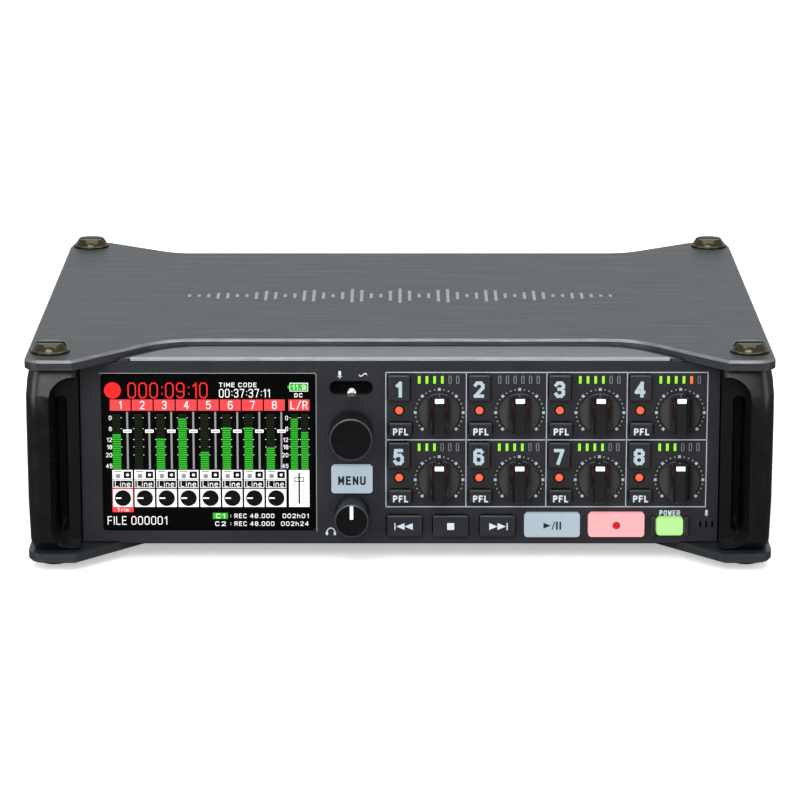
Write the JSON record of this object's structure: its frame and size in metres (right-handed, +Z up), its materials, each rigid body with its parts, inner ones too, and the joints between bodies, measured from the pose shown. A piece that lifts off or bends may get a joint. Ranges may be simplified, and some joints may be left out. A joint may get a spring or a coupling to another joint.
{
  "type": "portable field recorder",
  "caption": "Low box-shaped audio field recorder: metal plates over moulded corner guards, a front panel with a display, gain knobs and lit keys, and jacks along both sides.",
  "frame": {"origin": "on the floor, under the middle of the plates", "axes": "+X to the right of someone who faces the panel, +Y from the panel to the back, +Z up"},
  "size_m": [0.1782, 0.14, 0.0543],
  "materials": {
    "brushed_grey_metal": "brushed, grey anodised",
    "dark_nickel": "dark nickel, polished",
    "guard_moulding": "satin",
    "dark_moulding": "fine matt texture",
    "display_glass": "gloss, with a lit display behind it",
    "bright_steel": "polished",
    "dark_key": "satin",
    "light_grey_key": "satin, lit from behind",
    "pink_key": "satin, lit from behind",
    "green_key": "satin, lit from behind",
    "gloss_black": "gloss",
    "painted_sheet": "fine texture paint",
    "jack_moulding": "satin",
    "cap_rubber": "matt",
    "cell_wrap": "printed wrap on steel",
    "circuit_board": "solder mask"
  },
  "bodies": {
    "body": {"top_plate": "brushed_grey_metal", "bottom_plate": "brushed_grey_metal", "tie_bolt_front_left": "dark_nickel", "guard_front_left": "guard_moulding", "tie_bolt_front_right": "dark_nickel", "guard_front_right": "guard_moulding", "tie_bolt_rear_left": "dark_nickel", "guard_rear_left": "guard_moulding", "tie_bolt_rear_right": "dark_nickel", "guard_rear_right": "guard_moulding", "front_panel": "dark_moulding", "display_window": "display_glass", "display_module": "bright_steel", "chassis": "painted_sheet", "left_jack_bank": "jack_moulding", "right_jack_bank": "jack_moulding", "rear_connector_bank": "jack_moulding", "main_board": "circuit_board", "control_board": "circuit_board"},
    "menu_key": {"menu_key": "light_grey_key"},
    "rewind_key": {"rewind_key": "dark_key"},
    "stop_key": {"stop_key": "dark_key"},
    "forward_key": {"forward_key": "dark_key"},
    "play_key": {"play_key": "light_grey_key"},
    "record_key": {"record_key": "pink_key"},
    "power_key": {"power_key": "green_key"},
    "track_key_1": {"track_key_1": "dark_key"},
    "listen_key_1": {"listen_key_1": "dark_key"},
    "track_key_2": {"track_key_2": "dark_key"},
    "listen_key_2": {"listen_key_2": "dark_key"},
    "track_key_3": {"track_key_3": "dark_key"},
    "listen_key_3": {"listen_key_3": "dark_key"},
    "track_key_4": {"track_key_4": "dark_key"},
    "listen_key_4": {"listen_key_4": "dark_key"},
    "track_key_5": {"track_key_5": "dark_key"},
    "listen_key_5": {"listen_key_5": "dark_key"},
    "track_key_6": {"track_key_6": "dark_key"},
    "listen_key_6": {"listen_key_6": "dark_key"},
    "track_key_7": {"track_key_7": "dark_key"},
    "listen_key_7": {"listen_key_7": "dark_key"},
    "track_key_8": {"track_key_8": "dark_key"},
    "listen_key_8": {"listen_key_8": "dark_key"},
    "gain_knob_1": {"gain_knob_1": "gloss_black"},
    "gain_knob_2": {"gain_knob_2": "gloss_black"},
    "gain_knob_3": {"gain_knob_3": "gloss_black"},
    "gain_knob_4": {"gain_knob_4": "gloss_black"},
    "gain_knob_5": {"gain_knob_5": "gloss_black"},
    "gain_knob_6": {"gain_knob_6": "gloss_black"},
    "gain_knob_7": {"gain_knob_7": "gloss_black"},
    "gain_knob_8": {"gain_knob_8": "gloss_black"},
    "volume_knob": {"volume_knob": "gloss_black"},
    "dial_plunger": {"dial_plunger": "dark_moulding"},
    "dial": {"dial_knob": "gloss_black", "dial_shaft": "bright_steel"},
    "toggle": {"toggle_lever": "bright_steel"},
    "battery_drawer": {"battery_tray": "guard_moulding", "battery_cells": "cell_wrap"},
    "card_door": {"card_door": "guard_moulding"},
    "mic_port_cap": {"mic_port_cap": "cap_rubber"}
  },
  "joints": [
    {"name": "menu_key_press", "type": "slide", "parent": "body", "child": "menu_key", "axis": [0, 1, 0], "range_m": [0, 0.0006], "stiffness_N_per_m": 900, "springref_m": -0.0012},
    {"name": "rewind_key_press", "type": "slide", "parent": "body", "child": "rewind_key", "axis": [0, 1, 0], "range_m": [0, 0.0006], "stiffness_N_per_m": 900, "springref_m": -0.0012},
    {"name": "stop_key_press", "type": "slide", "parent": "body", "child": "stop_key", "axis": [0, 1, 0], "range_m": [0, 0.0006], "stiffness_N_per_m": 900, "springref_m": -0.0012},
    {"name": "forward_key_press", "type": "slide", "parent": "body", "child": "forward_key", "axis": [0, 1, 0], "range_m": [0, 0.0006], "stiffness_N_per_m": 900, "springref_m": -0.0012},
    {"name": "play_key_press", "type": "slide", "parent": "body", "child": "play_key", "axis": [0, 1, 0], "range_m": [0, 0.0006], "stiffness_N_per_m": 900, "springref_m": -0.0012},
    {"name": "record_key_press", "type": "slide", "parent": "body", "child": "record_key", "axis": [0, 1, 0], "range_m": [0, 0.0006], "stiffness_N_per_m": 900, "springref_m": -0.0012},
    {"name": "power_key_press", "type": "slide", "parent": "body", "child": "power_key", "axis": [0, 1, 0], "range_m": [0, 0.0006], "stiffness_N_per_m": 900, "springref_m": -0.0012},
    {"name": "track_key_1_press", "type": "slide", "parent": "body", "child": "track_key_1", "axis": [0, 1, 0], "range_m": [0, 0.0006], "stiffness_N_per_m": 900, "springref_m": -0.0012},
    {"name": "listen_key_1_press", "type": "slide", "parent": "body", "child": "listen_key_1", "axis": [0, 1, 0], "range_m": [0, 0.0006], "stiffness_N_per_m": 900, "springref_m": -0.0012},
    {"name": "track_key_2_press", "type": "slide", "parent": "body", "child": "track_key_2", "axis": [0, 1, 0], "range_m": [0, 0.0006], "stiffness_N_per_m": 900, "springref_m": -0.0012},
    {"name": "listen_key_2_press", "type": "slide", "parent": "body", "child": "listen_key_2", "axis": [0, 1, 0], "range_m": [0, 0.0006], "stiffness_N_per_m": 900, "springref_m": -0.0012},
    {"name": "track_key_3_press", "type": "slide", "parent": "body", "child": "track_key_3", "axis": [0, 1, 0], "range_m": [0, 0.0006], "stiffness_N_per_m": 900, "springref_m": -0.0012},
    {"name": "listen_key_3_press", "type": "slide", "parent": "body", "child": "listen_key_3", "axis": [0, 1, 0], "range_m": [0, 0.0006], "stiffness_N_per_m": 900, "springref_m": -0.0012},
    {"name": "track_key_4_press", "type": "slide", "parent": "body", "child": "track_key_4", "axis": [0, 1, 0], "range_m": [0, 0.0006], "stiffness_N_per_m": 900, "springref_m": -0.0012},
    {"name": "listen_key_4_press", "type": "slide", "parent": "body", "child": "listen_key_4", "axis": [0, 1, 0], "range_m": [0, 0.0006], "stiffness_N_per_m": 900, "springref_m": -0.0012},
    {"name": "track_key_5_press", "type": "slide", "parent": "body", "child": "track_key_5", "axis": [0, 1, 0], "range_m": [0, 0.0006], "stiffness_N_per_m": 900, "springref_m": -0.0012},
    {"name": "listen_key_5_press", "type": "slide", "parent": "body", "child": "listen_key_5", "axis": [0, 1, 0], "range_m": [0, 0.0006], "stiffness_N_per_m": 900, "springref_m": -0.0012},
    {"name": "track_key_6_press", "type": "slide", "parent": "body", "child": "track_key_6", "axis": [0, 1, 0], "range_m": [0, 0.0006], "stiffness_N_per_m": 900, "springref_m": -0.0012},
    {"name": "listen_key_6_press", "type": "slide", "parent": "body", "child": "listen_key_6", "axis": [0, 1, 0], "range_m": [0, 0.0006], "stiffness_N_per_m": 900, "springref_m": -0.0012},
    {"name": "track_key_7_press", "type": "slide", "parent": "body", "child": "track_key_7", "axis": [0, 1, 0], "range_m": [0, 0.0006], "stiffness_N_per_m": 900, "springref_m": -0.0012},
    {"name": "listen_key_7_press", "type": "slide", "parent": "body", "child": "listen_key_7", "axis": [0, 1, 0], "range_m": [0, 0.0006], "stiffness_N_per_m": 900, "springref_m": -0.0012},
    {"name": "track_key_8_press", "type": "slide", "parent": "body", "child": "track_key_8", "axis": [0, 1, 0], "range_m": [0, 0.0006], "stiffness_N_per_m": 900, "springref_m": -0.0012},
    {"name": "listen_key_8_press", "type": "slide", "parent": "body", "child": "listen_key_8", "axis": [0, 1, 0], "range_m": [0, 0.0006], "stiffness_N_per_m": 900, "springref_m": -0.0012},
    {"name": "gain_knob_1_turn", "type": "hinge", "parent": "body", "child": "gain_knob_1", "pos_m": [0.00939, -0.06, 0.037], "axis": [0, 1, 0], "range_deg": [-135, 135]},
    {"name": "gain_knob_2_turn", "type": "hinge", "parent": "body", "child": "gain_knob_2", "pos_m": [0.02863, -0.06, 0.037], "axis": [0, 1, 0], "range_deg": [-135, 135]},
    {"name": "gain_knob_3_turn", "type": "hinge", "parent": "body", "child": "gain_knob_3", "pos_m": [0.04787, -0.06, 0.037], "axis": [0, 1, 0], "range_deg": [-135, 135]},
    {"name": "gain_knob_4_turn", "type": "hinge", "parent": "body", "child": "gain_knob_4", "pos_m": [0.06711, -0.06, 0.037], "axis": [0, 1, 0], "range_deg": [-135, 135]},
    {"name": "gain_knob_5_turn", "type": "hinge", "parent": "body", "child": "gain_knob_5", "pos_m": [0.00939, -0.06, 0.02036], "axis": [0, 1, 0], "range_deg": [-135, 135]},
    {"name": "gain_knob_6_turn", "type": "hinge", "parent": "body", "child": "gain_knob_6", "pos_m": [0.02863, -0.06, 0.02036], "axis": [0, 1, 0], "range_deg": [-135, 135]},
    {"name": "gain_knob_7_turn", "type": "hinge", "parent": "body", "child": "gain_knob_7", "pos_m": [0.04787, -0.06, 0.02036], "axis": [0, 1, 0], "range_deg": [-135, 135]},
    {"name": "gain_knob_8_turn", "type": "hinge", "parent": "body", "child": "gain_knob_8", "pos_m": [0.06711, -0.06, 0.02036], "axis": [0, 1, 0], "range_deg": [-135, 135]},
    {"name": "volume_knob_turn", "type": "hinge", "parent": "body", "child": "volume_knob", "pos_m": [-0.01157, -0.06, 0.01246], "axis": [0, 1, 0], "range_deg": [-135, 135]},
    {"name": "dial_push", "type": "slide", "parent": "body", "child": "dial_plunger", "axis": [0, 1, 0], "range_m": [0, 0.0004], "stiffness_N_per_m": 1500, "springref_m": -0.0012},
    {"name": "dial_turn", "type": "hinge", "parent": "dial_plunger", "child": "dial", "pos_m": [-0.01167, -0.06, 0.03264], "axis": [0, 1, 0], "continuous": true},
    {"name": "toggle_rock", "type": "hinge", "parent": "body", "child": "toggle", "pos_m": [-0.0117, -0.054, 0.0432], "axis": [0, 0, 1], "range_deg": [-13, 13], "stiffness_Nm_per_rad": 0.05},
    {"name": "battery_drawer_slide", "type": "slide", "parent": "body", "child": "battery_drawer", "axis": [0, 1, 0], "range_m": [0, 0.055]},
    {"name": "card_door_fold", "type": "hinge", "parent": "body", "child": "card_door", "pos_m": [0, 0.0592, 0.0099], "axis": [-1, 0, 0], "range_deg": [0, 85]},
    {"name": "mic_port_cap_pull", "type": "slide", "parent": "body", "child": "mic_port_cap", "axis": [0, 1, 0], "range_m": [0, 0.015]}
  ]
}
